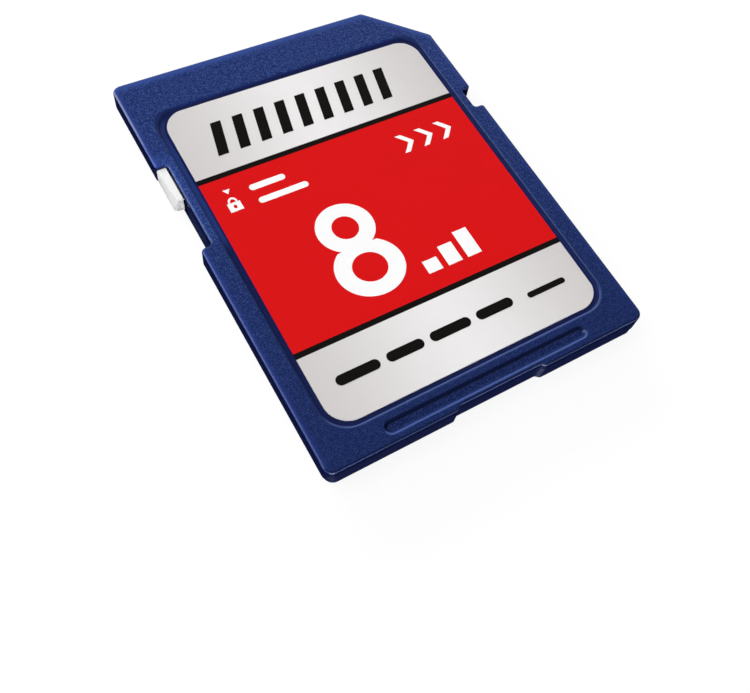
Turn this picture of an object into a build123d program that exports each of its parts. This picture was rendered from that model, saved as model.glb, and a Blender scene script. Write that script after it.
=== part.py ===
from build123d import *
import math
import os

# A full-size flash memory card: two moulded shells welded round a populated circuit board,
# a white lock tab that slides in a notch of the left edge, and a printed label on the face.
# Millimetres. +Z is the label side, +Y the contact end, and the card lies on its back at z = 0.

# Outline of the card
card_width = 24.0
card_length = 32.0
card_thickness = 2.1
key_cut = 4.0
key_blunt = 0.3
corner_radius = 0.65
face_edge_round = 0.2
lead_in_length = 0.8
lead_in_drop = 0.02

# Rails along both sides, where the back is stepped in; they run out just before the rear edge
rail_width = 0.75
rail_thickness = 1.4
rail_rear_margin = 0.95
rail_run_out = 0.6
rear_flank_inset = 0.15
back_edge_bevel = 0.2

# Thickness of the front shell, from the face down to the seam
front_shell_thickness = 0.7

# Lock notch in the left edge and small notch in the right edge
lock_notch_setback = 7.75
lock_notch_length = 7.0
lock_notch_depth = 0.8
lock_notch_round = 0.35
side_notch_setback = 9.9
side_notch_length = 1.8
side_notch_depth = 0.75
notch_corner_round = 0.25

# Thumb notch in the rear edge, with slanted ends
thumb_notch_length = 6.2
thumb_notch_offset = 0.45
thumb_notch_flare = 0.28
thumb_notch_depth = 0.25
thumb_notch_round = 0.3

# Label recess and grip groove in the face
recess_side_margin = 1.37
recess_front_margin = 3.24
recess_rear_margin = 1.9
recess_radius = 2.1
recess_depth = 0.15
recess_wall_run = 0.17
recess_edge_round = 0.15
groove_length = 15.25
groove_width = 0.92
groove_setback = 0.55
groove_depth = 0.22
groove_wall_run = 0.2
groove_edge_round = 0.12

# Printed label
label_gap = 0.46
label_thickness = 0.09

# Circuit board, the pocket that holds it and the roof over its chips
board_thickness = 0.3
board_side_margin = 1.05
board_front_margin = 1.0
board_rear_margin = 2.2
board_corner_radius = 0.4
board_clearance = 0.05
hold_down_width = 0.5
roof_thickness = 0.28
chip_headroom = 0.03

# Contact pads under the board and the windows over them in the back
pad_thickness = 0.04
pad_length = 4.0
pad_width = 1.5
narrow_pad_width = 1.1
pad_row_right_margin = 3.125
pad_row_left_margin = 1.75
narrow_pad_pitch = 1.7
narrow_pad_offset = 2.425
pad_front_margin = 1.45
pad_key_margin = 0.3
window_clearance = 0.1
rib_setback = 0.45
rib_lead_in = 1.1

# Lock tab, its neck through the notch wall and its keeper inside the shells
tab_length = 2.9
tab_end_gap = 0.04
tab_side_gap = 0.12
tab_inset = 0.02
tab_drop = 0.12
tab_underside_gap = 0.2
tab_front_round = 0.14
tab_rear_round = 0.3
tab_bevel = 0.06
slant_front_inset = 0.04
slant_rear_inset = 0.24
slant_drop = 0.9
tab_web = 0.3
neck_inset = 0.5
neck_height = 0.3
keeper_height = 0.6
keeper_thickness = 0.3
tab_clearance = 0.05
channel_wall = 0.35

# Flash package with a row of leads at each end
flash_body_length = 15.4
flash_rear_gap = 0.6
flash_edge_bevel = 0.1
lead_count = 24
lead_pitch = 0.5
lead_row_margin = 0.25
lead_width = 0.22
lead_thickness = 0.1
lead_reach = 0.8
lead_foot = 0.35
lead_shoulder = 0.2

# Controller chip
controller_size = 6.0
controller_offset = 2.0
controller_gap = 1.4
controller_edge_bevel = 0.08
pin_mark_radius = 0.35
pin_mark_inset = 0.5
pin_mark_depth = 0.05

# Capacitors and resistors
chip_part_length = 1.0
chip_part_width = 0.5
end_cap_length = 0.25
end_cap_step = 0.02
capacitor_count = 3
capacitor_pitch = 2.0
capacitor_gap = 1.2
capacitor_drop = 0.1
resistor_count = 5
resistor_pitch = 1.1
resistor_gap = 1.2
resistor_drop = 0.25

# Levels, from the back up
rail_underside = card_thickness - rail_thickness
board_underside = rail_underside + pad_thickness
board_top = board_underside + board_thickness
seam = card_thickness - front_shell_thickness
recess_floor = card_thickness - recess_depth
ceiling = recess_floor - roof_thickness
chip_height = ceiling - chip_headroom - board_top

# Edges of the card and of its stepped back
right_edge = card_width / 2
front_edge = card_length / 2
rear_edge = -front_edge
back_right_edge = right_edge - rail_width
key_line = right_edge + front_edge - key_cut

# Ends and floor of the lock notch
lock_notch_front = front_edge - lock_notch_setback
lock_notch_rear = lock_notch_front - lock_notch_length
lock_notch_floor = lock_notch_depth - right_edge

# Channel behind the lock notch, and the board edge that is cut back to clear it
channel_outer = lock_notch_floor + tab_web
channel_inner = channel_outer + keeper_thickness + 2 * tab_clearance
channel_front = lock_notch_front - neck_inset
channel_rear = lock_notch_rear + neck_inset
board_lock_edge = channel_inner + channel_wall + board_clearance

# Edges of the board and of the space inside the hold-down rib
board_right = right_edge - board_side_margin
board_front = front_edge - board_front_margin
board_rear = rear_edge + board_rear_margin
board_key_line = key_line - math.sqrt(2) * board_front_margin
space_rear = board_rear + hold_down_width

# Contact row: one wide pitch fills the room left between the two margins and the narrow pads
wide_pitch_count = 6
pad_pitch = (
    card_width - pad_row_right_margin - pad_row_left_margin - narrow_pad_offset - narrow_pad_pitch
) / wide_pitch_count
pad_nine_x = right_edge - pad_row_right_margin
wide_pad_x = [pad_nine_x - pad_pitch * (1 + k) for k in range(wide_pitch_count)]
pad_seven_x = wide_pad_x[-1] - narrow_pad_offset
narrow_pad_x = [pad_seven_x, pad_seven_x - narrow_pad_pitch]
pads = [(x, pad_width) for x in wide_pad_x]
pads += [(x, narrow_pad_width) for x in narrow_pad_x]
pads += [(pad_nine_x, pad_width)]

# Flash package, controller and small parts, laid out from the rear of the board to the front
flash_body_width = (lead_count - 1) * lead_pitch + 2 * lead_row_margin
flash_y = space_rear + flash_rear_gap + flash_body_width / 2
controller_y = flash_y + flash_body_width / 2 + controller_gap + controller_size / 2
capacitor_y = controller_y + controller_size / 2 + capacitor_gap + chip_part_width / 2
resistor_x = controller_offset - controller_size / 2 - resistor_gap - chip_part_length / 2


def outline(corners):
    """Closed face through corners given as (x, y, radius of the corner)."""
    points = [(x, y) for x, y, radius in corners]
    radii = [radius for x, y, radius in corners]
    return make_face(FilletPolyline(*points, radius=radii, close=True))


def prism(face, low, high):
    """Straight solid over a face, from one level to another."""
    return Pos(0, 0, low) * extrude(face, high - low)


def block(x_span, y_span, z_span):
    """Box over a span along each axis."""
    spans = (x_span, y_span, z_span)
    middle = [(low + high) / 2 for low, high in spans]
    sides = [high - low for low, high in spans]
    return Pos(*middle) * Box(*sides)


def about(middle, half):
    """Span that reaches as far to both sides of a middle."""
    return (middle - half, middle + half)


def thumb_notch_corners():
    """Rear edge from left to right, with the notch that a thumb nail catches."""
    floor_left = thumb_notch_offset - thumb_notch_length / 2
    floor_right = thumb_notch_offset + thumb_notch_length / 2
    floor_y = rear_edge + thumb_notch_depth
    return [
        (floor_left - thumb_notch_flare, rear_edge, thumb_notch_round),
        (floor_left, floor_y, thumb_notch_round),
        (floor_right, floor_y, thumb_notch_round),
        (floor_right + thumb_notch_flare, rear_edge, thumb_notch_round),
    ]


def card_plan():
    """Outline of the card seen from the face: one slanted corner and three notches."""
    side_notch_front = front_edge - side_notch_setback
    side_notch_rear = side_notch_front - side_notch_length
    side_notch_floor = right_edge - side_notch_depth
    corners = [(-right_edge, rear_edge, corner_radius)]
    corners += thumb_notch_corners()
    corners += [
        (right_edge, rear_edge, corner_radius),
        (right_edge, side_notch_rear, notch_corner_round),
        (side_notch_floor, side_notch_rear, notch_corner_round),
        (side_notch_floor, side_notch_front, notch_corner_round),
        (right_edge, side_notch_front, notch_corner_round),
        (right_edge, key_line - right_edge, key_blunt),
        (key_line - front_edge, front_edge, key_blunt),
        (-right_edge, front_edge, corner_radius),
        (-right_edge, lock_notch_front, notch_corner_round),
        (lock_notch_floor, lock_notch_front, notch_corner_round),
        (lock_notch_floor, lock_notch_rear, notch_corner_round),
        (-right_edge, lock_notch_rear, lock_notch_round),
    ]
    return outline(corners)


def back_plan():
    """Outline of the stepped back: narrower than the card by a rail on each side, except at the rear."""
    back_front = front_edge - rib_setback
    back_key_line = key_line - rail_width
    flank = right_edge - rear_flank_inset
    flank_front = rear_edge + rail_rear_margin
    rail_end = flank_front + rail_run_out
    corners = [
        (-back_right_edge, rail_end, key_blunt),
        (-flank, flank_front, key_blunt),
        (-flank, rear_edge, corner_radius),
    ]
    corners += thumb_notch_corners()
    corners += [
        (flank, rear_edge, corner_radius),
        (flank, flank_front, key_blunt),
        (back_right_edge, rail_end, key_blunt),
        (back_right_edge, back_key_line - back_right_edge, key_blunt),
        (back_key_line - back_front, back_front, key_blunt),
        (-back_right_edge, back_front, key_blunt),
    ]
    return outline(corners)


def board_plan(grow):
    """Outline of the circuit board, cut back beside the lock channel, grown all round by a distance."""
    key = board_key_line + math.sqrt(2) * grow
    right = board_right + grow
    front = board_front + grow
    rear = board_rear - grow
    lock_edge = board_lock_edge - grow
    relief_front = channel_front + channel_wall + board_clearance - grow
    relief_rear = channel_rear - channel_wall - board_clearance + grow
    radius = board_corner_radius
    corners = [
        (-right, rear, radius),
        (right, rear, radius),
        (right, key - right, radius),
        (key - front, front, radius),
        (-right, front, radius),
        (-right, relief_front, 0),
        (lock_edge, relief_front, 0),
        (lock_edge, relief_rear, 0),
        (-right, relief_rear, 0),
    ]
    return outline(corners)


def recess_plan(inset):
    """Round-cornered field of the face that takes the label, shrunk all round by a distance."""
    right = right_edge - recess_side_margin - inset
    front = front_edge - recess_front_margin - inset
    rear = rear_edge + recess_rear_margin + inset
    radius = recess_radius - inset
    return Pos(0, (front + rear) / 2) * RectangleRounded(2 * right, front - rear, radius)


def groove_plan(inset):
    """Round-ended slot along the rear edge, shrunk all round by a distance."""
    middle = rear_edge + groove_setback + groove_width / 2
    return Pos(0, middle) * SlotOverall(groove_length - 2 * inset, groove_width - 2 * inset)


def lock_channel():
    """Room for the tab's keeper inside the shells, and the slot for its neck through the notch wall."""
    along = (channel_rear, channel_front)
    keeper_room = about(seam, keeper_height / 2 + tab_clearance)
    neck_room = about(seam, neck_height / 2 + tab_clearance)
    channel = block((channel_outer, channel_inner), along, keeper_room)
    slot = block((lock_notch_floor, channel_outer), along, neck_room)
    return channel + slot


def pad_ends(x, width):
    """Rear and front end of a contact pad; the pad beside the slanted corner is set back."""
    front = front_edge - pad_front_margin
    key_front = board_key_line - (x + width / 2) - pad_key_margin
    end = min(front, key_front)
    return end - pad_length, end


def contact_windows():
    """Slots in the back over the contact pads, open at the leading end; the narrow pads share one."""
    spans = []
    for x, width in pads:
        rear, front = pad_ends(x, width)
        spans.append((x - width / 2, x + width / 2, rear, front))
    narrow = spans[wide_pitch_count:wide_pitch_count + len(narrow_pad_x)]
    shared = (narrow[-1][0], narrow[0][1], narrow[0][2], narrow[0][3])
    spans = spans[:wide_pitch_count] + [shared] + spans[-1:]
    cut = []
    for low, high, rear, front in spans:
        across = (low - window_clearance, high + window_clearance)
        rear -= window_clearance
        front += window_clearance
        cut.append(block(across, (rear, front_edge), (0, rail_underside)))
        cut.append(block(across, (rear, front), (rail_underside, board_underside)))
    return cut


def press_hollow(shell, floor, mouth, depth, edge_round):
    """Shell with a hollow in its face: the wall slopes from a floor up to a wider mouth with a soft edge."""
    shell -= loft([Pos(0, 0, card_thickness - depth) * floor, Pos(0, 0, card_thickness) * mouth])
    field = mouth.bounding_box()

    def on_mouth(edge):
        box = edge.bounding_box()
        in_face = box.min.Z > card_thickness - depth / 2
        across = box.min.X > field.min.X - edge_round and box.max.X < field.max.X + edge_round
        along = box.min.Y > field.min.Y - edge_round and box.max.Y < field.max.Y + edge_round
        return in_face and across and along

    return fillet(shell.edges().filter_by(on_mouth), edge_round)


def front_cover():
    """Shell on the label side: recess, grip groove and a rib inside that holds the board down."""
    shell = prism(card_plan(), seam, card_thickness)

    # Roll-down along the leading edge, and a round on the whole rim of the face
    crest = front_edge - lead_in_length
    brow = front_edge, card_thickness - lead_in_drop
    roll = TangentArc((crest, card_thickness), brow, tangent=(1, 0))
    corner = Polyline(brow, (front_edge, card_thickness), (crest, card_thickness))
    shell -= extrude(Plane.YZ * make_face(roll + corner), right_edge, both=True)
    rim = shell.edges().filter_by(lambda edge: edge.bounding_box().min.Z > seam + face_edge_round)
    crest_line = rim.sort_by_distance((0, crest, card_thickness))[0]
    rim.remove(crest_line)
    shell = fillet(rim, face_edge_round)

    # Label recess and grip groove
    shell = press_hollow(
        shell, recess_plan(recess_wall_run), recess_plan(0), recess_depth, recess_edge_round
    )
    shell = press_hollow(
        shell, groove_plan(groove_wall_run), groove_plan(0), groove_depth, groove_edge_round
    )

    # Space for the chips, inside the rib that presses on the board's edge
    shell += prism(board_plan(0), board_top, seam)
    shell -= prism(board_plan(-hold_down_width), board_top, ceiling)
    return shell - lock_channel()


def rear_cover():
    """Shell on the contact side: stepped back, board pocket, contact windows and ribs between them."""
    back = prism(back_plan(), 0, rail_underside)
    back_rim = back.edges().filter_by(lambda edge: edge.bounding_box().max.Z < back_edge_bevel)
    back = chamfer(back_rim, back_edge_bevel)
    shell = back + prism(card_plan(), rail_underside, seam)

    # Sloped fronts of the ribs, which lead the socket's springs in
    back_front = front_edge - rib_setback
    slope = Polyline(
        (back_front - rib_lead_in, 0),
        (back_front, 0),
        (back_front, rail_underside),
        close=True,
    )
    shell -= extrude(Plane.YZ * make_face(slope), right_edge, both=True)

    shell -= prism(board_plan(board_clearance), board_underside, seam)
    shell -= contact_windows()
    return shell - lock_channel()


def front_label():
    """Film with rounded corners that lies in the recess."""
    return prism(recess_plan(label_gap), recess_floor, recess_floor + label_thickness)


def lock_tab_outline(low_x, high_x, rear, front):
    """Plan of the tab: its outer corners are rounded, more at the rear."""
    return outline(
        [
            (low_x, rear, tab_rear_round),
            (high_x, rear, 0),
            (high_x, front, 0),
            (low_x, front, tab_front_round),
        ]
    )


def lock_slider():
    """Tab in the notch, with a neck through the notch wall and a keeper trapped between the shells."""
    outer = tab_inset - right_edge
    inner = lock_notch_floor - tab_side_gap
    front = lock_notch_front - tab_end_gap
    rear = front - tab_length
    bottom = rail_underside + tab_underside_gap
    top = card_thickness - tab_drop
    tab = prism(lock_tab_outline(outer, inner, rear, front), bottom, top)
    crown = tab.edges().filter_by(lambda edge: edge.bounding_box().min.Z > (bottom + top) / 2)
    inner_line = crown.sort_by(Axis.X)[-1]
    crown.remove(inner_line)
    tab = chamfer(crown, tab_bevel)

    # Slanted outer side, which cuts deeper towards the rear
    slant_front = Vector(outer + slant_front_inset, front, top)
    slant_rear = Vector(outer + slant_rear_inset, rear, top)
    slant_foot = Vector(outer, rear, top - slant_drop)
    run = slant_front - slant_rear
    facing = run.cross(slant_foot - slant_rear)
    tab = split(tab, Plane(slant_rear, x_dir=run, z_dir=facing), keep=Keep.BOTTOM)

    # Neck and keeper
    along = (rear + neck_inset, front - neck_inset)
    keeper_outer = channel_outer + tab_clearance
    keeper_inner = keeper_outer + keeper_thickness
    neck = block((inner, keeper_outer), along, about(seam, neck_height / 2))
    keeper = block((keeper_outer, keeper_inner), along, about(seam, keeper_height / 2))
    return tab + neck + keeper


def circuit_board():
    """Thin board that fills the pocket; its edge is cut back beside the lock channel."""
    return prism(board_plan(0), board_underside, board_top)


def contact(x, width):
    """Gold pad on the underside of the board."""
    rear, front = pad_ends(x, width)
    plate = Pos(x, (rear + front) / 2) * Rectangle(width, front - rear)
    return prism(plate, rail_underside, board_underside)


def package(length, width, x, y, bevel):
    """Moulded chip body with bevelled edges and a dimple that marks its first pin."""
    top = board_top + chip_height
    body = block(about(x, length / 2), about(y, width / 2), (board_top, top))
    body = chamfer(body.edges().filter_by(Axis.Z, reverse=True), bevel)
    mark_x = x - length / 2 + bevel + pin_mark_inset + pin_mark_radius
    mark_y = y - width / 2 + bevel + pin_mark_inset + pin_mark_radius
    mark = Pos(mark_x, mark_y) * Circle(pin_mark_radius)
    return body - prism(mark, top - pin_mark_depth, top)


def flash_leads():
    """Two rows of gull-wing leads from the middle of the flash package down to the board."""
    body_end = flash_body_length / 2
    tip = body_end + lead_reach
    half = lead_thickness / 2
    middle = board_top + chip_height / 2
    shoulder = body_end + lead_shoulder
    heel = tip - lead_foot
    foot_top = board_top + lead_thickness
    profile = Polyline(
        (body_end, middle - half),
        (shoulder - half, middle - half),
        (heel - half, board_top),
        (tip, board_top),
        (tip, foot_top),
        (heel + half, foot_top),
        (shoulder + half, middle + half),
        (body_end, middle + half),
        close=True,
    )
    lead = extrude(Plane.XZ * make_face(profile), lead_width / 2, both=True)
    first = flash_y - (lead_count - 1) * lead_pitch / 2
    right_row = [Pos(0, first + k * lead_pitch, 0) * lead for k in range(lead_count)]
    left_row = [mirror(item, Plane.YZ) for item in right_row]
    return Compound(children=right_row + left_row)


def chip_part(x, y, drop):
    """Surface-mount part with a metal cap at each end, a little lower than the chips."""
    low, high = about(x, chip_part_length / 2)
    across = about(y, chip_part_width / 2)
    waist = about(y, chip_part_width / 2 - end_cap_step)
    top = board_top + chip_height - drop
    body = block((low, high), waist, (board_top, top - end_cap_step))
    left_cap = block((low, low + end_cap_length), across, (board_top, top))
    right_cap = block((high - end_cap_length, high), across, (board_top, top))
    return body + left_cap + right_cap


nodes = {
    "front_cover": front_cover(),
    "rear_cover": rear_cover(),
    "lock_slider": lock_slider(),
    "front_label": front_label(),
    "circuit_board": circuit_board(),
    "flash_chip": package(flash_body_length, flash_body_width, 0, flash_y, flash_edge_bevel),
    "flash_leads": flash_leads(),
    "controller_chip": package(
        controller_size, controller_size, controller_offset, controller_y, controller_edge_bevel
    ),
}
for number, (x, width) in enumerate(pads, start=1):
    nodes[f"contact_{number}"] = contact(x, width)
for k in range(capacitor_count):
    capacitor_x = controller_offset + (k - (capacitor_count - 1) / 2) * capacitor_pitch
    nodes[f"capacitor_{k + 1}"] = chip_part(capacitor_x, capacitor_y, capacitor_drop)
for k in range(resistor_count):
    resistor_y = controller_y + (k - (resistor_count - 1) / 2) * resistor_pitch
    nodes[f"resistor_{k + 1}"] = chip_part(resistor_x, resistor_y, resistor_drop)

os.makedirs("parts", exist_ok=True)
for name, solid in nodes.items():
    export_step(solid, f"parts/{name}.step")
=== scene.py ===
import math

import bpy
import numpy as np
from mathutils import Matrix, Vector


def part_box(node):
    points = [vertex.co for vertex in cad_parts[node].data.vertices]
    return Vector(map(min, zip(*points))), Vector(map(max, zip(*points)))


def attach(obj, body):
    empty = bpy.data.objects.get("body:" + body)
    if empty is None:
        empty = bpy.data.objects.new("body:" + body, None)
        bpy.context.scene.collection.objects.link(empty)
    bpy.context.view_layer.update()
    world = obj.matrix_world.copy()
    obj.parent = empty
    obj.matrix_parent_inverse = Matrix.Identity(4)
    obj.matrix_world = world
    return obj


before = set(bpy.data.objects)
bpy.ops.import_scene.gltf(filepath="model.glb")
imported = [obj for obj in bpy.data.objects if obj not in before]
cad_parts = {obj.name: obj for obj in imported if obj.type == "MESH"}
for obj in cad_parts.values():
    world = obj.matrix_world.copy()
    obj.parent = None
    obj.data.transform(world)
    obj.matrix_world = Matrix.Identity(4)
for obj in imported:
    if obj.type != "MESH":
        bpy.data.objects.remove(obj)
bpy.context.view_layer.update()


# Rear cover
# The moulded shell on the contact side, with the two side rails and the nine contact windows.
# It is injected in one shot from blue ABS, in a mould whose wide face is spark eroded to a fine grain.

mm = 0.001


def feed(tree, kind, feeds, **options):
    """Adds a node with these options and fills each named or numbered input from a socket or a value."""
    made = tree.nodes.new(kind)
    for option, value in options.items():
        setattr(made, option, value)
    for key, value in feeds.items():
        if isinstance(value, bpy.types.NodeSocket):
            tree.links.new(value, made.inputs[key])
        else:
            made.inputs[key].default_value = value
    return made


def calc(tree, operation, *values):
    """One step of arithmetic on sockets or numbers."""
    return feed(tree, "ShaderNodeMath", dict(enumerate(values)), operation=operation).outputs[0]


def ease(tree, value, start, end):
    """0 where the value is at start, 1 where it is at end, and a smooth step between."""
    step = feed(tree, "ShaderNodeMapRange", {0: value, 1: start, 2: end}, interpolation_type="SMOOTHSTEP")
    return step.outputs[0]


def blend_colours(tree, share, first, second):
    """The first colour where the share is 0, the second where it is 1."""
    mix = feed(tree, "ShaderNodeMix", {0: share, 6: first, 7: second}, data_type="RGBA")
    return mix.outputs[2]


def place_in_part(tree):
    """A point of the surface in the part's own frame, in metres."""
    return feed(tree, "ShaderNodeTexCoord", {}).outputs["Object"]


def split_axes(tree, place):
    """The outputs X, Y and Z of a place."""
    return feed(tree, "ShaderNodeSeparateXYZ", {0: place}).outputs


def speckle(tree, place, per_metre):
    """Cloudy noise between 0 and 1 with this many blots to the metre."""
    return feed(tree, "ShaderNodeTexNoise", {"Vector": place, "Scale": per_metre}).outputs[0]


def start_material(name, **finish):
    """A new material with one Principled shader, whose plain numbers are set here."""
    material = bpy.data.materials.new(name)
    material.use_nodes = True
    tree = material.node_tree
    shader = tree.nodes["Principled BSDF"]
    for socket, value in finish.items():
        shader.inputs[socket.replace("_", " ")].default_value = value
    return material, tree, shader


def soften_edges(tree, radius):
    """The surface's normal, turned smoothly over each edge as on a rounding of this radius."""
    return feed(tree, "ShaderNodeBevel", {"Radius": radius}, samples=8).outputs[0]


def raise_surface(tree, shader, height, depth, soft_normal):
    """Feeds a height field of this depth to the shader's normal, over edges that are already softened."""
    bump = feed(tree, "ShaderNodeBump", {"Height": height, "Distance": depth, "Normal": soft_normal})
    tree.links.new(bump.outputs[0], shader.inputs["Normal"])


def dress(material, *names):
    """Gives the material to these nodes of the part."""
    for name in names:
        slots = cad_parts[name].data.materials
        slots.clear()
        slots.append(material)


def build_eroded_grain():
    """Spark-eroded grain: pits of one size, broken by a coarser mottle, as a fleck share and a height."""
    mottle_coarseness = 0.3
    mottle_share = 0.25
    fleck_edges = (0.42, 0.66)
    group = bpy.data.node_groups.new("eroded_grain", "ShaderNodeTree")
    group.interface.new_socket("Grains per metre", in_out="INPUT", socket_type="NodeSocketFloat")
    group.interface.new_socket("Fleck", in_out="OUTPUT", socket_type="NodeSocketFloat")
    group.interface.new_socket("Height", in_out="OUTPUT", socket_type="NodeSocketFloat")
    density = feed(group, "NodeGroupInput", {}).outputs[0]
    place = place_in_part(group)
    pits = speckle(group, place, density)
    mottle = speckle(group, place, calc(group, "MULTIPLY", density, mottle_coarseness))
    coarse = calc(group, "MULTIPLY", mottle, mottle_share)
    mixed = calc(group, "MULTIPLY_ADD", pits, 1.0 - mottle_share, coarse)
    feed(group, "NodeGroupOutput", {0: ease(group, mixed, *fleck_edges), 1: pits})
    return group


eroded_grain = build_eroded_grain()


def place_grain(tree, grains_per_metre):
    """The outputs Fleck and Height of the eroded grain at this density."""
    return feed(tree, "ShaderNodeGroup", {0: grains_per_metre}, node_tree=eroded_grain).outputs


shell_grains_per_metre = 11000.0
shell_grain_depth = 0.008 * mm
shell_dark = (0.0070, 0.0205, 0.119, 1.0)
shell_light = (0.047, 0.084, 0.272, 1.0)
shell_polished = (0.0076, 0.0128, 0.076, 1.0)
shell_finish = {"Specular_IOR_Level": 0.36, "Specular_Tint": (0.70, 0.86, 1.0, 1.0)}
rear_face_level = (0.04 * mm, 0.01 * mm)
rear_edge_radius = 0.016 * mm

rear_plastic, tree, shader = start_material("rear_plastic", Roughness=0.32, **shell_finish)
grain = place_grain(tree, shell_grains_per_metre)
on_wide_face = ease(tree, split_axes(tree, place_in_part(tree))["Z"], *rear_face_level)
flecked = blend_colours(tree, grain["Fleck"], shell_dark, shell_light)
tree.links.new(blend_colours(tree, on_wide_face, shell_polished, flecked), shader.inputs["Base Color"])
height = calc(tree, "MULTIPLY", grain["Height"], on_wide_face)
raise_surface(tree, shader, height, shell_grain_depth, soften_edges(tree, rear_edge_radius))
dress(rear_plastic, "rear_cover")


# Contacts and circuit board
# A thin green board carries nine gold-plated pads, which show through the windows of the rear cover.
# The pads are etched foil, so the fine lines of the rolled copper run along each one.

def grade(tree, share, start, end):
    """Goes in a straight line from start, where the share is 0, to end, where it is 1."""
    return calc(tree, "MULTIPLY_ADD", share, end - start, start)


gold_deep = (0.80, 0.50, 0.15, 1.0)
gold_bright = (0.93, 0.66, 0.24, 1.0)
gold_smooth = 0.26
gold_rough = 0.51
foil_lines_per_metre = 9000.0
foil_stretch = (1.0, 0.06, 1.0)
foil_line_depth = 0.002 * mm
pad_edge_radius = 0.02 * mm

pad_gold, tree, shader = start_material("pad_gold", Metallic=0.6)
along_pad = feed(tree, "ShaderNodeMapping", {"Vector": place_in_part(tree), "Scale": foil_stretch})
lines = speckle(tree, along_pad.outputs[0], foil_lines_per_metre)
tree.links.new(blend_colours(tree, lines, gold_deep, gold_bright), shader.inputs["Base Color"])
tree.links.new(grade(tree, lines, gold_smooth, gold_rough), shader.inputs["Roughness"])
raise_surface(tree, shader, lines, foil_line_depth, soften_edges(tree, pad_edge_radius))
dress(pad_gold, *[f"contact_{number}" for number in range(1, 10)])

mask_green = (0.010, 0.085, 0.035, 1.0)
trace_green = (0.022, 0.150, 0.062, 1.0)
trace_pitch = 0.5 * mm
trace_wander_per_metre = 300.0
trace_edges = (0.75, 0.95)
trace_height = 0.012 * mm
board_edge_radius = 0.02 * mm

board_mask, tree, shader = start_material("board_mask", Roughness=0.32)
place = place_in_part(tree)
phase = calc(tree, "MULTIPLY", split_axes(tree, place)["X"], 2.0 * math.pi / trace_pitch)
wave = calc(tree, "ADD", calc(tree, "SINE", phase), speckle(tree, place, trace_wander_per_metre))
trace = ease(tree, wave, *trace_edges)
tree.links.new(blend_colours(tree, trace, mask_green, trace_green), shader.inputs["Base Color"])
raise_surface(tree, shader, trace, trace_height, soften_edges(tree, board_edge_radius))
dress(board_mask, "circuit_board")


# Chips and small parts on the board
# A flat memory package with tinned leads, a square controller, and ceramic capacitors and resistors.
# All are soldered to the board and closed in by the two covers.

def grained_moulding(name, dark, light, grains_per_metre, depth, edge_radius, **finish):
    """A moulding with the eroded grain on every face: its flecks go from a dark to a light tone."""
    material, tree, shader = start_material(name, **finish)
    grain = place_grain(tree, grains_per_metre)
    tree.links.new(blend_colours(tree, grain["Fleck"], dark, light), shader.inputs["Base Color"])
    raise_surface(tree, shader, grain["Height"], depth, soften_edges(tree, edge_radius))
    return material


epoxy_dark = (0.011, 0.011, 0.012, 1.0)
epoxy_light = (0.030, 0.030, 0.032, 1.0)
chip_epoxy = grained_moulding(
    "chip_epoxy", epoxy_dark, epoxy_light,
    grains_per_metre=16000.0, depth=0.005 * mm, edge_radius=0.03 * mm, Roughness=0.6,
)
dress(chip_epoxy, "flash_chip", "controller_chip")

tin_dull = (0.52, 0.52, 0.54, 1.0)
tin_bright = (0.74, 0.74, 0.75, 1.0)
tin_smooth = 0.25
tin_rough = 0.45
tin_blots_per_metre = 5000.0

lead_tin, tree, shader = start_material("lead_tin", Metallic=1.0)
blots = speckle(tree, place_in_part(tree), tin_blots_per_metre)
tree.links.new(blend_colours(tree, blots, tin_dull, tin_bright), shader.inputs["Base Color"])
tree.links.new(grade(tree, blots, tin_smooth, tin_rough), shader.inputs["Roughness"])
dress(lead_tin, "flash_leads")

dip_softness = 0.03
ceramic_pore_depth = 0.003 * mm
ceramic_edge_radius = 0.02 * mm


def fired_ceramic(name, body_dark, body_light, first_part, pitch):
    """Ceramic bodies at a pitch along x, whose ends beyond a quarter of the length are dipped in tin."""
    material, tree, shader = start_material(name, Roughness=0.35)
    place = place_in_part(tree)
    low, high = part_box(first_part)
    from_first = calc(tree, "SUBTRACT", split_axes(tree, place)["X"], (low.x + high.x) / 2.0)
    from_middle = calc(tree, "ABSOLUTE", calc(tree, "WRAP", from_first, pitch / 2.0, -pitch / 2.0))
    body_end = (high.x - low.x) / 4.0
    dipped = ease(tree, from_middle, body_end * (1.0 - dip_softness), body_end * (1.0 + dip_softness))
    mottle = speckle(tree, place, tin_blots_per_metre)
    body = blend_colours(tree, mottle, body_dark, body_light)
    tin = blend_colours(tree, mottle, tin_dull, tin_bright)
    tree.links.new(blend_colours(tree, dipped, body, tin), shader.inputs["Base Color"])
    tree.links.new(dipped, shader.inputs["Metallic"])
    raise_surface(tree, shader, mottle, ceramic_pore_depth, soften_edges(tree, ceramic_edge_radius))
    return material


capacitor_dark = (0.30, 0.20, 0.12, 1.0)
capacitor_light = (0.46, 0.33, 0.21, 1.0)
capacitor_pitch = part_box("capacitor_2")[0].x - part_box("capacitor_1")[0].x
capacitor_tan = fired_ceramic(
    "capacitor_tan", capacitor_dark, capacitor_light, "capacitor_1", capacitor_pitch
)
dress(capacitor_tan, *[f"capacitor_{number}" for number in range(1, 4)])

resistor_dark = (0.018, 0.018, 0.022, 1.0)
resistor_light = (0.045, 0.045, 0.050, 1.0)
resistor_row_width = 10.0 * mm
resistor_black = fired_ceramic(
    "resistor_black", resistor_dark, resistor_light, "resistor_1", resistor_row_width
)
dress(resistor_black, *[f"resistor_{number}" for number in range(1, 6)])


# Lock slider
# The white write-protect tab, moulded in ABS with a satin skin.
# Its keeper is trapped in the channel between the covers, and it slides along the notch.

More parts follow.
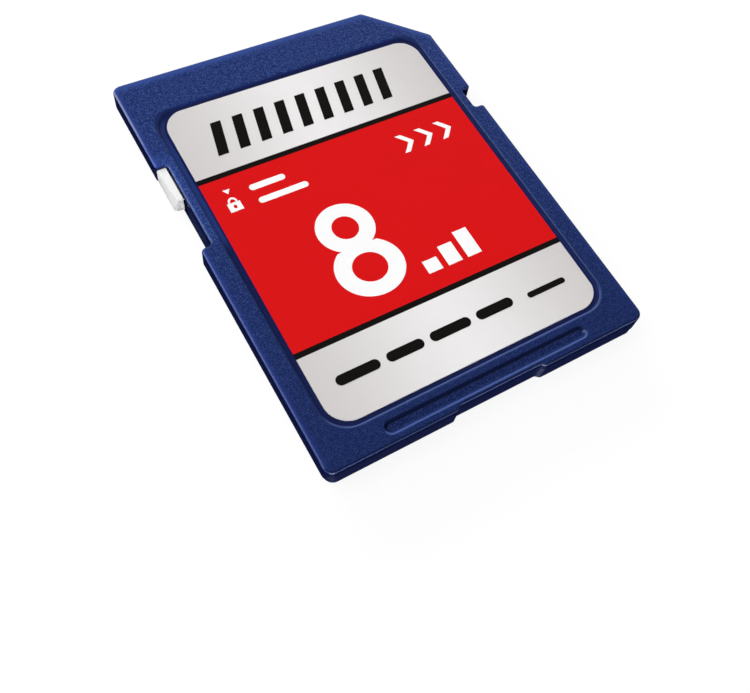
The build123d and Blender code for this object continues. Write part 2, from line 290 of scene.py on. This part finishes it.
satin_shade = (0.87, 0.873, 0.876, 1.0)
satin_white = (0.93, 0.93, 0.93, 1.0)
slider_white = grained_moulding(
    "slider_white", satin_shade, satin_white, grains_per_metre=12000.0,
    depth=0.003 * mm, edge_radius=0.06 * mm, Roughness=0.42, Specular_IOR_Level=0.0,
)
dress(slider_white, "lock_slider")


# Front cover
# The moulded shell on the label side, welded to the rear cover along the seam.
# Its wide face has the eroded grain; the label recess, the lead-in, the rims and the edges are polished,
# but matt where they turn to the front and to the right. Light and shade are painted into its colour in
# many places.

def shade_colour(tree, colour, factor):
    """The colour times a factor that changes over the surface."""
    options = {"data_type": "RGBA", "blend_type": "MULTIPLY"}
    return feed(tree, "ShaderNodeMix", {0: 1.0, 6: colour, 7: factor}, **options).outputs[2]


def all_of(tree, *shares):
    """Product of the shares, which is 1 only where each of them is 1."""
    product = shares[0]
    for share in shares[1:]:
        product = calc(tree, "MULTIPLY", product, share)
    return product


def any_of(tree, *shares):
    """Largest of the shares at each point."""
    largest = shares[0]
    for share in shares[1:]:
        largest = calc(tree, "MAXIMUM", largest, share)
    return largest


def band(tree, value, low, high, softness):
    """1 where the value lies between two limits, with soft edges outside them."""
    rising = ease(tree, value, low - softness, low)
    falling = ease(tree, value, high + softness, high)
    return all_of(tree, rising, falling)


def past(tree, value, limit):
    """How far the value lies beyond a limit, and 0 short of it."""
    return calc(tree, "MAXIMUM", calc(tree, "SUBTRACT", value, limit), 0.0)


def reach(tree, along, across):
    """Straight distance of a step along x and across it."""
    step = feed(tree, "ShaderNodeCombineXYZ", {0: along, 1: across}).outputs[0]
    return feed(tree, "ShaderNodeVectorMath", {0: step}, operation="LENGTH").outputs["Value"]


# In what follows, a pair of values is where a soft change starts and where it is full,
# and three values are a band's two limits and its softness.
cover_low, cover_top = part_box("front_cover")
cover_plastic, tree, shader = start_material("cover_plastic", **shell_finish)
grain = place_grain(tree, shell_grains_per_metre)
axes = split_axes(tree, place_in_part(tree))
x = axes["X"]
y = axes["Y"]
from_middle = calc(tree, "ABSOLUTE", x)
to_rear = calc(tree, "MULTIPLY", y, -1.0)
below_top = calc(tree, "SUBTRACT", cover_top.z, axes["Z"])

# Wide face: painted shade darkens it towards the rear, where its flecks are calmer; the side rims are
# plain, in a painted highlight.
dark_rear_y = -15.5 * mm
light_front_y = 10.0 * mm
rear_painted_shade_tone = (0.53, 0.55, 0.61, 1.0)
full_tone = (1.0, 1.0, 1.0, 1.0)
rear_calm = 0.35
mean_fleck = 0.35
rim_x = (cover_top.x - 0.5 * mm, cover_top.x - 0.05 * mm)
rim_highlight_blue = (0.027, 0.054, 0.270, 1.0)

along = feed(tree, "ShaderNodeMapRange", {0: y, 1: dark_rear_y, 2: light_front_y}).outputs[0]
calm = grade(tree, along, rear_calm, 0.0)
calmed = feed(tree, "ShaderNodeMix", {0: calm, 2: grain["Fleck"], 3: mean_fleck}).outputs[0]
flecked = blend_colours(tree, calmed, shell_dark, shell_light)
side_rim = ease(tree, from_middle, *rim_x)
rimmed = blend_colours(tree, side_rim, flecked, rim_highlight_blue)
toned = shade_colour(tree, rimmed, blend_colours(tree, along, rear_painted_shade_tone, full_tone))

# Strip beside the lock notch, lighter than the rest of the face.
lock_strip_x = (-10.5 * mm, -10.7 * mm)
lock_strip_y = (2.0 * mm, 8.5 * mm, 1.0 * mm)
lock_strip_light = 1.42

beside_lock = all_of(tree, ease(tree, x, *lock_strip_x), band(tree, y, *lock_strip_y))
bridged = shade_colour(tree, toned, grade(tree, beside_lock, 1.0, lock_strip_light))

# Corners of the label recess: its dark tone reaches a little further out in them.
label_low, label_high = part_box("front_label")
label_margin = 0.46 * mm
recess_half_width = label_high.x + label_margin
recess_front = label_high.y + label_margin
recess_rear = label_low.y - label_margin
recess_blue = (0.0068, 0.0122, 0.084, 1.0)
corner_blue = (0.0095, 0.0205, 0.106, 1.0)
front_corner = 1.25 * mm
front_corner_edge = (front_corner + 0.02 * mm, front_corner - 0.12 * mm)
front_corner_y = (9.5 * mm, 10.5 * mm)
rear_corner = 1.85 * mm
rear_corner_sides = (0.2 * mm, 0.5 * mm)
rear_corner_back = (0.1 * mm, 0.3 * mm)
rear_corner_edge = (0.10 * mm, 0.16 * mm)

past_front_side = past(tree, from_middle, recess_half_width - front_corner)
past_front = past(tree, y, recess_front - front_corner)
from_front_corner = reach(tree, past_front_side, past_front)
in_front_corner = all_of(
    tree, ease(tree, from_front_corner, *front_corner_edge), ease(tree, y, *front_corner_y)
)
front_hollowed = blend_colours(tree, in_front_corner, bridged, corner_blue)
past_rear_side = past(tree, from_middle, recess_half_width - rear_corner)
past_rear = past(tree, to_rear, -recess_rear - rear_corner)
inset = calc(tree, "SUBTRACT", rear_corner, reach(tree, past_rear_side, past_rear))
in_rear_corner = all_of(
    tree,
    ease(tree, past_rear_side, *rear_corner_sides),
    ease(tree, past_rear, *rear_corner_back),
    ease(tree, inset, *rear_corner_edge),
)
hollowed = blend_colours(tree, in_rear_corner, front_hollowed, recess_blue)

# Grip groove: painted light on its floor, painted shade on its front wall, and a painted highlight on the
# lip behind it.
groove_y = -14.99 * mm
groove_half_width = 0.46 * mm
groove_half_run = 7.165 * mm
groove_depth = 0.20 * mm
groove_floor_level = (0.9 * groove_depth, groove_depth)
groove_floor_edge = (0.0, -0.1 * mm)
groove_floor_light = 1.35
groove_wall_side = (0.0, 0.2 * mm)
groove_wall_band = (-0.18 * mm, -0.06 * mm, 0.09 * mm)
groove_shade = (0.0026, 0.0056, 0.034, 1.0)
lip_side = (0.0, -0.3 * mm)
lip_band = (-0.01 * mm, 0.06 * mm, 0.07 * mm)
lip_highlight_blue = (0.046, 0.082, 0.250, 1.0)

past_run = past(tree, from_middle, groove_half_run)
from_axis = calc(tree, "SUBTRACT", y, groove_y)
from_groove = calc(tree, "SUBTRACT", reach(tree, past_run, from_axis), groove_half_width)
on_lip = all_of(tree, ease(tree, from_axis, *lip_side), band(tree, from_groove, *lip_band))
groove_wall = all_of(
    tree, ease(tree, from_axis, *groove_wall_side), band(tree, from_groove, *groove_wall_band)
)
in_groove = all_of(
    tree, ease(tree, from_groove, *groove_floor_edge), ease(tree, below_top, *groove_floor_level)
)
lipped = blend_colours(tree, on_lip, hollowed, lip_highlight_blue)
floored = shade_colour(tree, lipped, grade(tree, in_groove, 1.0, groove_floor_light))

# Rear edge: a dark line of painted shade follows it through the thumb notch, and outside it a pale line,
# which is a painted highlight, palest in the notch and near the corners.
thumb_notch_x = 0.45 * mm
thumb_notch_half = 3.1 * mm
thumb_notch_depth = 0.25 * mm
thumb_notch_ramp = (thumb_notch_half + 0.15 * mm, thumb_notch_half - 0.15 * mm)
pale_line_ends = (7.5 * mm, 10.5 * mm)
faintest_pale_line = 0.3
corner_radius = 0.65 * mm
rear_strip_y = (cover_low.y + 1.2 * mm, cover_low.y + 0.7 * mm)
dark_line_band = (0.07 * mm, 0.11 * mm, 0.05 * mm)
dark_line_share = 0.65
pale_line_band = (-0.02 * mm, 0.035 * mm, 0.025 * mm)
pale_line_level = (0.17 * mm, 0.10 * mm)

from_notch = calc(tree, "ABSOLUTE", calc(tree, "SUBTRACT", x, thumb_notch_x))
in_notch = ease(tree, from_notch, *thumb_notch_ramp)
pale_line_strength = any_of(tree, in_notch, ease(tree, from_notch, *pale_line_ends), faintest_pale_line)
notched_rear = calc(tree, "MULTIPLY_ADD", in_notch, thumb_notch_depth, to_rear)
past_end = past(tree, notched_rear, -cover_low.y - corner_radius)
past_end_side = past(tree, from_middle, cover_top.x - corner_radius)
from_edge = calc(tree, "SUBTRACT", corner_radius, reach(tree, past_end_side, past_end))
at_rear = ease(tree, y, *rear_strip_y)
dark_line = all_of(tree, band(tree, from_edge, *dark_line_band), at_rear, dark_line_share)
pale_line = all_of(
    tree, band(tree, from_edge, *pale_line_band), at_rear, pale_line_strength, ease(tree, below_top, *pale_line_level)
)
lined = blend_colours(tree, dark_line, floored, groove_shade)

# Lead-in along the front edge and the key cut: plain, in a brighter blue that is a painted highlight.
lead_in_width = 0.9 * mm
key_cut = 4.0 * mm
key_line = cover_top.x + cover_top.y - key_cut
key_rim_width = 1.2 * lead_in_width
lead_in_highlight_blue = (0.038, 0.082, 0.330, 1.0)

lead_in = ease(tree, y, cover_top.y - lead_in_width, cover_top.y)
key_rim = ease(tree, calc(tree, "ADD", x, y), key_line - key_rim_width, key_line)
front_rim = any_of(tree, lead_in, key_rim)
face = blend_colours(tree, front_rim, lined, lead_in_highlight_blue)

# Label recess: painted light brightens its sloped walls and painted shade makes them darkest at the right;
# its left side is lighter towards the front, and painted highlights lie along its rear and right edges.
face_level = (0.13 * mm, 0.04 * mm)
recess_softness = 0.1 * mm
recess_wall_top = (0.04 * mm, 0.055 * mm)
recess_wall_foot = (0.145 * mm, 0.125 * mm)
recess_wall_light = 1.5
left_side_x = (-9.6 * mm, -10.0 * mm)
left_front_y = (0.3 * mm, 1.7 * mm)
left_end_y = (9.2 * mm, 11.2 * mm)
left_rear_blue = (0.0040, 0.0090, 0.062, 1.0)
left_front_blue = (0.0125, 0.0310, 0.155, 1.0)
right_side_x = (8.8 * mm, 9.6 * mm)
right_wall_share = 0.9
right_edge_band = (0.0, 0.05 * mm, 0.05 * mm)
right_edge_share = 0.4
rear_side_y = (-12.4 * mm, -13.2 * mm)
rear_edge_band = (0.07 * mm, 0.14 * mm, 0.06 * mm)
rear_edge_share = 0.85
edge_highlight_blue = (0.048, 0.076, 0.200, 1.0)

across = ease(tree, from_middle, recess_half_width + recess_softness, recess_half_width)
in_recess = all_of(tree, across, band(tree, y, recess_rear, recess_front, recess_softness))
below_edge = all_of(tree, in_recess, ease(tree, below_top, *recess_wall_top))
on_wall = all_of(tree, below_edge, ease(tree, below_top, *recess_wall_foot))
at_right = ease(tree, x, *right_side_x)
left_side = blend_colours(tree, ease(tree, y, *left_front_y), left_rear_blue, left_front_blue)
left_blue = blend_colours(tree, ease(tree, y, *left_end_y), left_side, corner_blue)
recess_tone = blend_colours(tree, ease(tree, x, *left_side_x), recess_blue, left_blue)
sloped = shade_colour(tree, recess_tone, grade(tree, on_wall, 1.0, recess_wall_light))
below_face = blend_colours(tree, in_recess, shell_polished, sloped)
on_face = any_of(tree, ease(tree, below_top, *face_level), in_groove)
whole = blend_colours(tree, on_face, below_face, face)
right_wall = all_of(tree, on_wall, at_right, right_wall_share)
walled = blend_colours(tree, right_wall, whole, groove_shade)
rear_edge = all_of(tree, band(tree, inset, *rear_edge_band), ease(tree, y, *rear_side_y), rear_edge_share)
right_edge = all_of(tree, band(tree, inset, *right_edge_band), at_right, right_edge_share)
edged = blend_colours(tree, any_of(tree, rear_edge, right_edge), walled, edge_highlight_blue)

# Lines that run on below the face: painted shade on the groove's front wall, a painted highlight along the
# rear edge, and a painted glint at the left.
glint_x = (-11.0 * mm, -11.5 * mm)
glint_y = (9.5 * mm, 12.0 * mm)
glint_band = (11.86 * mm, 11.94 * mm, 0.05 * mm)
glint_blue = (0.125, 0.155, 0.330, 1.0)

grooved = blend_colours(tree, groove_wall, edged, groove_shade)
rear_lined = blend_colours(tree, pale_line, grooved, lip_highlight_blue)
glint = all_of(tree, ease(tree, y, *glint_y), ease(tree, x, *glint_x), band(tree, from_middle, *glint_band))
glinted = blend_colours(tree, glint, rear_lined, glint_blue)

# Finish: grain on the wide face and in the groove, polish elsewhere, and matt far edges darkened by painted
# shade.
mould_edge_radius = 0.08 * mm
flat_level = (0.014 * mm, 0.004 * mm)
mould_roughness = 0.24
recess_edge_level = (0.008 * mm, 0.036 * mm, 0.004 * mm)
recess_edge_roughness = 0.15
recess_added_roughness = 0.40
matt_side = (0.6, 0.8, 0.0)
matt_turn = (0.03, 0.25)
far_edge_shade = 0.45

soft_normal = soften_edges(tree, mould_edge_radius)
turned = feed(tree, "ShaderNodeVectorMath", {0: soft_normal, 1: matt_side}, operation="DOT_PRODUCT")
matt = ease(tree, turned.outputs["Value"], *matt_turn)
rim = any_of(tree, side_rim, front_rim)
far_shade = grade(tree, all_of(tree, matt, rim), 1.0, far_edge_shade)
tree.links.new(shade_colour(tree, glinted, far_shade), shader.inputs["Base Color"])
recess_edge = all_of(tree, in_recess, band(tree, below_top, *recess_edge_level))
polish = grade(tree, recess_edge, mould_roughness, recess_edge_roughness)
moulded = calc(tree, "MULTIPLY_ADD", below_edge, recess_added_roughness, polish)
tree.links.new(any_of(tree, moulded, matt, on_wall), shader.inputs["Roughness"])
eroded = any_of(tree, ease(tree, below_top, *flat_level), in_groove)
plain = any_of(tree, rim, in_front_corner)
height = all_of(tree, grain["Height"], eroded, calc(tree, "SUBTRACT", 1.0, plain))
raise_surface(tree, shader, height, shell_grain_depth, soft_normal)
dress(cover_plastic, "front_cover")


# Front label
# A die-cut polyester film, stuck in the recess of the front cover.
# Silver, red and black fields are printed across it, the silver lighter in the middle. The print is turned
# a little on the film, which stays clear where the print stops short of its edges.

silver_middle = (0.850, 0.835, 0.835, 1.0)
silver_side = (0.625, 0.600, 0.594, 1.0)
silver_fade = (-0.8 * mm, 11.5 * mm)
ink_black = (0.0070, 0.0066, 0.0060, 1.0)
ink_red = (0.69, 0.0082, 0.0094, 1.0)
red_rear = -8.11 * mm
red_front = 5.82 * mm
stripe_width = 0.42 * mm
print_softness = 0.02 * mm
print_corner = 1.7 * mm
print_left = -10.09 * mm
print_right = 10.23 * mm
print_front = 12.27 * mm
side_slant = 0.0085
front_slant = -0.0075
film_finish = {"Roughness": 0.32, "Specular_IOR_Level": 0.04}
film_blots_per_metre = 900.0
film_thin = 0.985
film_thick = 1.015
film_relief = 0.01 * mm
film_edge_radius = 0.01 * mm


def print_edge(tree, distance, limit):
    """0 short of a limit and 1 beyond it, with a smooth step as wide as the ink spreads."""
    return ease(tree, distance, limit - print_softness, limit + print_softness)


label_film, tree, shader = start_material("label_film", **film_finish)
place = place_in_part(tree)
axes = split_axes(tree, place)
x = axes["X"]
y = axes["Y"]
silver_share = ease(tree, calc(tree, "ABSOLUTE", x), *silver_fade)
silver = blend_colours(tree, silver_share, silver_middle, silver_side)
red_half = (red_front - red_rear) / 2.0
from_red = calc(tree, "ABSOLUTE", calc(tree, "SUBTRACT", y, (red_rear + red_front) / 2.0))
red_and_black = blend_colours(tree, print_edge(tree, from_red, red_half), ink_red, ink_black)
beyond_stripe = print_edge(tree, from_red, red_half + stripe_width)
fields = blend_colours(tree, beyond_stripe, red_and_black, silver)
left_line = calc(tree, "MULTIPLY_ADD", y, side_slant, print_left + print_corner)
right_line = calc(tree, "MULTIPLY_ADD", y, side_slant, print_right - print_corner)
front_line = calc(tree, "MULTIPLY_ADD", x, front_slant, print_front - print_corner)
past_sides = calc(tree, "ADD", past(tree, left_line, x), past(tree, x, right_line))
past_print = reach(tree, past_sides, past(tree, y, front_line))
printed = blend_colours(tree, print_edge(tree, past_print, print_corner), fields, recess_blue)
mottle = grade(tree, speckle(tree, place, film_blots_per_metre), film_thin, film_thick)
tree.links.new(shade_colour(tree, printed, mottle), shader.inputs["Base Color"])
raise_surface(tree, shader, mottle, film_relief, soften_edges(tree, film_edge_radius))
dress(label_film, "front_label")


# Printed marks
# Plain shapes in white and black ink, screen printed on the label: a figure, bars, chevrons and a padlock.
# Each is a thin closed film of ink that stands on the label, with its place and size in millimetres.

opaque_white = (0.97, 0.97, 0.97, 1.0)
dense_black = (0.0072, 0.0066, 0.0060, 1.0)
ink_sunk = 0.002 * mm
ink_thickness = 0.008 * mm
ink_blots_per_metre = 4000.0
ink_thin = 0.98
ink_thick = 1.02
ink_relief = 0.01 * mm
ink_edge_radius = 0.003 * mm


def ink_paint(name, colour):
    """Screen ink of one colour whose body thins a little in small blots."""
    material, tree, shader = start_material(name, **film_finish)
    body = grade(tree, speckle(tree, place_in_part(tree), ink_blots_per_metre), ink_thin, ink_thick)
    tree.links.new(shade_colour(tree, colour, body), shader.inputs["Base Color"])
    raise_surface(tree, shader, body, ink_relief, soften_edges(tree, ink_edge_radius))
    return material


def ink_film(left, right, closed):
    """Film between a left and a right edge: each station's section has four corners, joined to the next."""
    edges = np.stack([left, right, right, left], axis=1)
    stations, corners = edges.shape[:2]
    levels = np.array([ink_thickness, ink_thickness, -ink_sunk, -ink_sunk]) + label_high.z
    heights = np.broadcast_to(levels, (stations, corners))[..., None]
    points = np.concatenate([edges, heights], axis=2)
    section = np.arange(corners)
    here = corners * np.arange(stations if closed else stations - 1)[:, None]
    ahead = (here + corners) % (corners * stations)
    beside = np.roll(section, -1)
    quads = np.stack([here + section, here + beside, ahead + beside, ahead + section], axis=-1)
    quads = quads.reshape(-1, 4)
    if not closed:
        last_section = section + corners * (stations - 1)
        quads = np.concatenate([quads, [section[::-1], last_section]])
    return points.reshape(-1, 3), quads


def print_piece(name, films, paint):
    """One piece of the label's print, made of films that lie side by side."""
    film_points, film_quads = zip(*films)
    starts = np.cumsum([0] + [len(points) for points in film_points])
    quads = np.concatenate([quads + start for quads, start in zip(film_quads, starts)])
    mesh = bpy.data.meshes.new(name)
    mesh.from_pydata(np.concatenate(film_points).tolist(), [], quads.tolist())
    mesh.materials.append(paint)
    piece = bpy.data.objects.new(name, mesh)
    bpy.context.scene.collection.objects.link(piece)
    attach(piece, "card")


def slab(left_x, right_x, low_y, high_y, lean=0.0, spread=0.0):
    """Film over a box in plan, whose far end leans sideways by a distance and is wider on both sides."""
    left = np.array([[left_x, low_y], [left_x + lean - spread, high_y]]) * mm
    right = np.array([[right_x, low_y], [right_x + lean + spread, high_y]]) * mm
    return ink_film(left, right, False)


def round_bar(start_x, end_x, middle_y, half_height):
    """Film along x with round ends: the half height follows a circle at both ends."""
    blunt_tip = 0.15
    end_stations = 10
    turn = np.linspace(blunt_tip, math.pi / 2.0, end_stations)
    run_in = half_height * (1.0 - np.cos(turn))
    along = np.concatenate([start_x + run_in, end_x - run_in[::-1]])
    half = half_height * np.concatenate([np.sin(turn), np.sin(turn[::-1])])
    left = np.stack([along, middle_y + half], axis=1) * mm
    right = np.stack([along, middle_y - half], axis=1) * mm
    return ink_film(left, right, False)


full_turn = (0.0, 2.0 * math.pi)


def ring(middle, inner, outer, low_y=-math.inf, high_y=math.inf, half_width=math.inf,
         angles=full_turn, stations=96):
    """Film between two ellipses over a range of angles: the outer one is cut flat at levels and sides."""
    closed = angles == full_turn
    turn = np.linspace(*angles, stations, endpoint=not closed)
    circle = np.stack([np.cos(turn), np.sin(turn)], axis=1)
    left = np.array(middle) + circle * inner
    right = np.array(middle) + circle * outer
    right[:, 0] = np.clip(right[:, 0], middle[0] - half_width, middle[0] + half_width)
    right[:, 1] = np.clip(right[:, 1], low_y, high_y)
    return ink_film(left * mm, right * mm, closed)


def chevron(tip_x, middle_y, half_height, depth, width):
    """Film bent to a point: three stations, all of the same width along x."""
    along = np.array([tip_x - depth, tip_x, tip_x - depth])
    across = middle_y + half_height * np.array([1.0, 0.0, -1.0])
    left = np.stack([along, across], axis=1) * mm
    right = np.stack([along - width, across], axis=1) * mm
    return ink_film(left, right, False)


white_ink = ink_paint("white_ink", opaque_white)
black_ink = ink_paint("black_ink", dense_black)

figure_x = -2.77
waist_y = -2.85
upper_loop = ring((figure_x, -1.22), inner=(0.93, 0.92), outer=(2.06, 1.95), low_y=waist_y)
lower_loop = ring((figure_x, -4.62), inner=(1.22, 1.13), outer=(2.43, 2.21), high_y=waist_y)
print_piece("figure_eight", [upper_loop, lower_loop], white_ink)

bar_width = 1.1
bar_foot = -6.81
bar_lefts = (0.50, 2.05, 3.60)
bar_tops = (-5.80, -5.20, -4.63)
bars = [slab(left, left + bar_width, bar_foot, top) for left, top in zip(bar_lefts, bar_tops)]
print_piece("rising_bars", bars, white_ink)

chevron_tips = (5.35, 6.95, 8.55)
chevrons = [chevron(tip, middle_y=3.40, half_height=0.80, depth=0.70, width=0.45) for tip in chevron_tips]
print_piece("speed_chevrons", chevrons, white_ink)

upper_line = round_bar(-7.08, -4.45, middle_y=4.30, half_height=0.24)
lower_line = round_bar(-6.95, -3.29, middle_y=3.10, half_height=0.24)
print_piece("plain_lines", [upper_line, lower_line], white_ink)

lock_x = -8.54
lock_body = ring((lock_x, 3.33), inner=(0.12, 0.15), outer=(0.60, 0.60),
                 low_y=2.97, high_y=3.69, half_width=0.46, stations=64)
shackle_angles = (-0.12, math.pi + 0.12)
shackle = ring((lock_x, 3.70), inner=(0.20, 0.27), outer=(0.33, 0.42), angles=shackle_angles, stations=32)
print_piece("padlock_mark", [lock_body, shackle], white_ink)
arrow_tip_half = 0.02
arrow = slab(lock_x - arrow_tip_half, lock_x + arrow_tip_half, low_y=4.46, high_y=4.82, spread=0.23)
print_piece("lock_arrow", [arrow], white_ink)

stroke_count = 9
stroke_width = 0.78
stroke_lefts = np.linspace(-7.76, 5.24, stroke_count)
strokes = [slab(left, left + stroke_width, low_y=7.59, high_y=10.44, lean=0.64) for left in stroke_lefts]
print_piece("slanted_strokes", strokes, black_ink)

long_bar_starts = (-8.73, -5.15, -1.95, 1.60)
long_bar_ends = (-5.65, -2.45, 1.10, 4.44)
long_bars = [
    round_bar(start, end, middle_y=-10.95, half_height=0.36)
    for start, end in zip(long_bar_starts, long_bar_ends)
]
print_piece("plain_bars", long_bars, black_ink)
print_piece("short_bar", [round_bar(5.58, 8.66, middle_y=-11.15, half_height=0.22)], black_ink)


# Floor
# A plain pale table top of painted board, wide enough to fill every view.
# It is clear from below, so that the contact side can be looked at too.

floor_half = 3.0
floor_glow = 0.90
floor_white = (1.0, 1.0, 1.0, 1.0)
floor_dark = (0.095, 0.095, 0.095, 1.0)
floor_light = (0.105, 0.105, 0.105, 1.0)
floor_clouds_per_metre = 8.0

floor_mesh = bpy.data.meshes.new("floor")
corners = np.array([[-1.0, -1.0, 0.0], [1.0, -1.0, 0.0], [1.0, 1.0, 0.0], [-1.0, 1.0, 0.0]]) * floor_half
floor_mesh.from_pydata(corners.tolist(), [], [[0, 1, 2, 3]])
floor = bpy.data.objects.new("floor", floor_mesh)
bpy.context.scene.collection.objects.link(floor)
floor.visible_diffuse = False
floor.visible_glossy = False
floor.visible_shadow = False

floor_paint, tree, shader = start_material(
    "floor_paint", Roughness=0.8, Emission_Color=floor_white, Emission_Strength=floor_glow
)
cloud = speckle(tree, place_in_part(tree), floor_clouds_per_metre)
tree.links.new(blend_colours(tree, cloud, floor_dark, floor_light), shader.inputs["Base Color"])
clear = feed(tree, "ShaderNodeBsdfTransparent", {})
underside = feed(tree, "ShaderNodeNewGeometry", {}).outputs["Backfacing"]
seen = feed(tree, "ShaderNodeMixShader", {0: underside, 1: shader.outputs[0], 2: clear.outputs[0]})
tree.links.new(seen.outputs[0], tree.nodes["Material Output"].inputs["Surface"])
floor_mesh.materials.append(floor_paint)


# Light
# Four softboxes light the card and aren't mirrored in it: a strong low one behind, and others above at the
# left, in front and below. Four reflector cards are only mirrored, and draw the edges.
# The room is white to the eye but gives little light, so that the side walls stay dark.

def softbox(name, place, width, depth, power, mirrored):
    """An area light that faces the card: it is either mirrored in glossy skins only, or not at all."""
    light = bpy.data.lights.new(name, "AREA")
    light.shape = "RECTANGLE"
    light.size = width
    light.size_y = depth
    light.energy = power
    lamp = bpy.data.objects.new(name, light)
    lamp.location = place
    lamp.rotation_euler = (-Vector(place)).to_track_quat("-Z", "Y").to_euler()
    lamp.visible_glossy = mirrored
    lamp.visible_diffuse = not mirrored
    bpy.context.scene.collection.objects.link(lamp)


softbox("softbox_behind", (0.02, 1.62, 0.45), width=1.5, depth=0.40, power=37.0, mirrored=False)
softbox("softbox_above", (-0.72, 0.48, 1.34), width=1.0, depth=1.00, power=14.0, mirrored=False)
softbox("softbox_fill", (-0.48, -0.88, 0.24), width=0.8, depth=0.30, power=7.8, mirrored=False)
softbox("softbox_below", (0.60, 0.30, -0.75), width=0.6, depth=0.60, power=14.0, mirrored=False)
softbox("card_left", (-0.80, 0.46, 0.34), width=0.8, depth=0.80, power=7.5, mirrored=True)
softbox("card_right", (0.63, 0.775, 0.07), width=0.20, depth=0.18, power=4.6, mirrored=True)
softbox("card_front", (0.40, -0.92, -0.16), width=1.4, depth=0.18, power=3.5, mirrored=True)
softbox("card_below", (-0.37, -0.78, -0.50), width=0.5, depth=0.50, power=9.0, mirrored=True)

room_glow = 0.13
glow_rise = (0.0, 0.2)

room = bpy.data.worlds.new("room")
room.use_nodes = True
bpy.context.scene.world = room
tree = room.node_tree
backdrop = tree.nodes["Background"]
backdrop.inputs["Color"].default_value = (1.0, 1.0, 1.0, 1.0)
seen_by_eye = feed(tree, "ShaderNodeLightPath", {}).outputs["Is Camera Ray"]
direction = feed(tree, "ShaderNodeTexCoord", {}).outputs["Generated"]
from_above = ease(tree, split_axes(tree, direction)["Z"], *glow_rise)
strength = any_of(tree, seen_by_eye, calc(tree, "MULTIPLY", from_above, room_glow))
tree.links.new(strength, backdrop.inputs["Strength"])
bpy.context.scene.view_settings.view_transform = "Standard"


# Camera
# It stands in front of the card and to its left, high above the table, and is rolled a little.
# The lens and the shift give the picture's perspective.

image_width = 750.0
image_height = 693.0
camera_place = Vector((-21.592, -28.714, 49.018)) * mm
axis_meets_card = Vector((-2.872, -11.166, 2.1)) * mm
camera_roll = math.radians(17.966)
focal_pixels = 851.39
axis_pixel_x = 420.0
axis_pixel_y = 346.5

camera_data = bpy.data.cameras.new("camera")
camera_data.sensor_fit = "HORIZONTAL"
camera_data.sensor_width = 36.0
camera_data.lens = focal_pixels / image_width * camera_data.sensor_width
camera_data.shift_x = (image_width / 2.0 - axis_pixel_x) / image_width
camera_data.shift_y = (axis_pixel_y - image_height / 2.0) / image_width
camera_data.clip_start = 0.005
camera_data.clip_end = 50.0
camera = bpy.data.objects.new("camera", camera_data)
level_view = (axis_meets_card - camera_place).to_track_quat("-Z", "Y").to_matrix().to_4x4()
camera.matrix_world = Matrix.Translation(camera_place) @ level_view @ Matrix.Rotation(camera_roll, 4, "Z")
bpy.context.scene.collection.objects.link(camera)
bpy.context.scene.camera = camera
